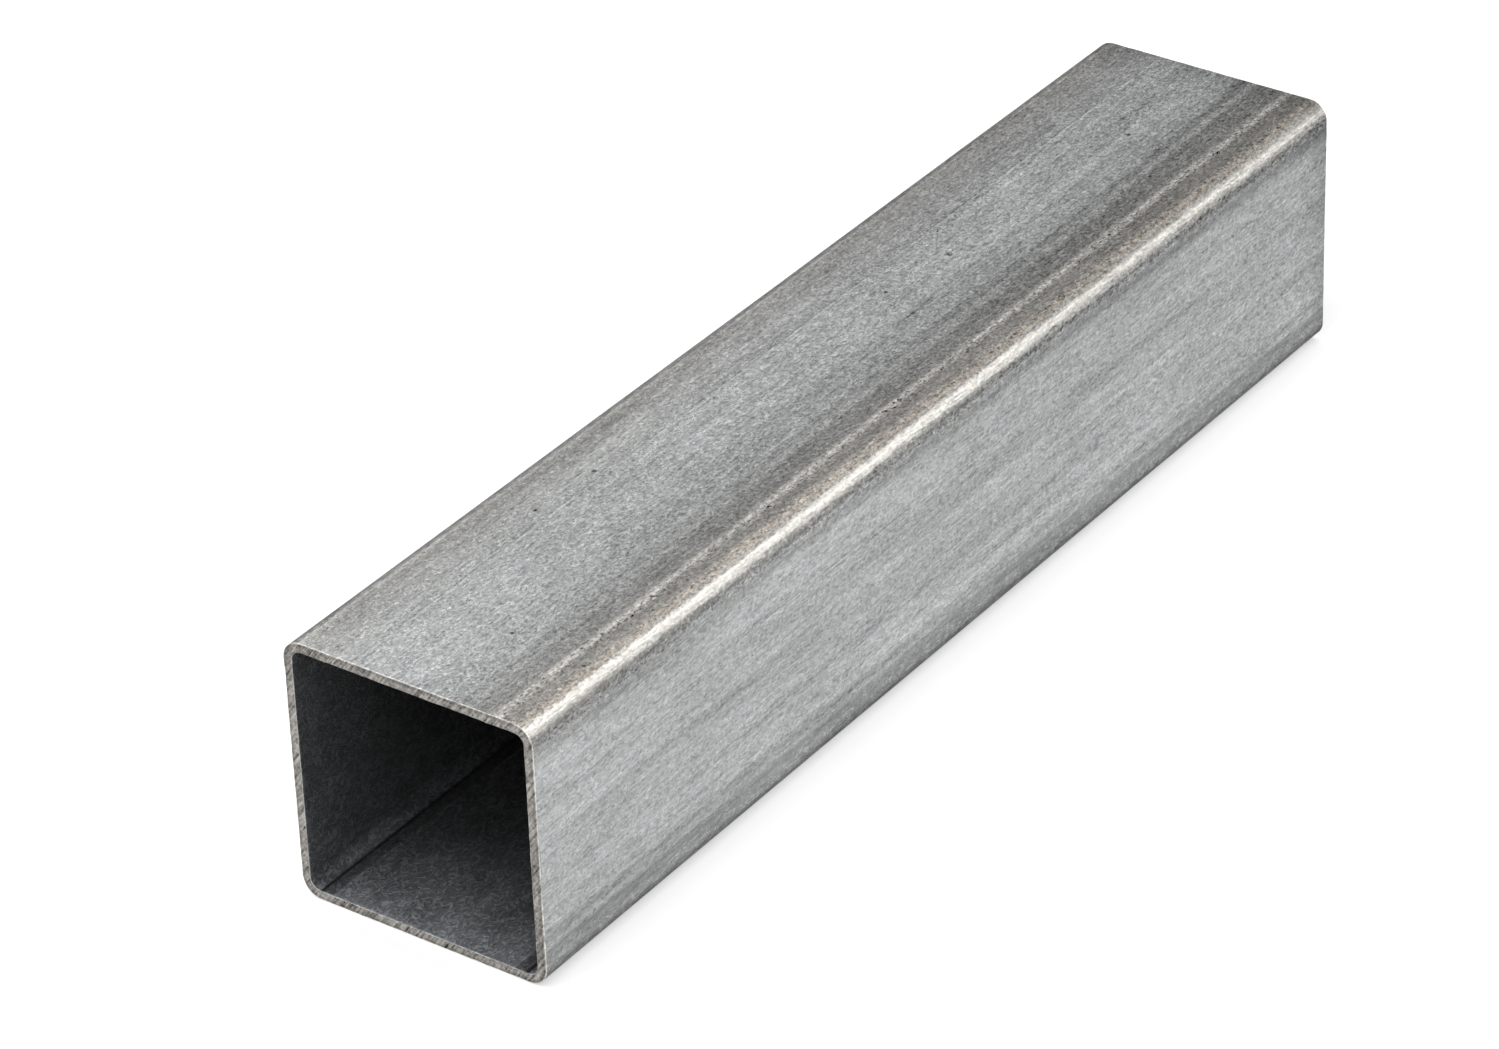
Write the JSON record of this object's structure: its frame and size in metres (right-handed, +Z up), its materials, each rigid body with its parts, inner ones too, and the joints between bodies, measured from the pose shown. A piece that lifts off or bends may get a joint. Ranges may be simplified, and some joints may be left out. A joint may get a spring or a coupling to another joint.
{
  "type": "square metal tube",
  "caption": "Short length of square steel tube with rounded corners, a square bore right through and square-sawn ends.",
  "frame": {"origin": "middle of the underside, halfway along the tube", "axes": "+X along the tube from one saw cut to the other, +Y across it, +Z up from the flat it lies on"},
  "size_m": [0.195, 0.04, 0.04],
  "materials": {
    "mill_finish_steel": "grey mill finish as rolled: finely mottled satin flats with faint lengthwise streaks, bright rubbed corners and fine saw marks on the cut ends"
  },
  "bodies": {
    "root": {"square_tube": "mill_finish_steel"}
  },
  "joints": []
}
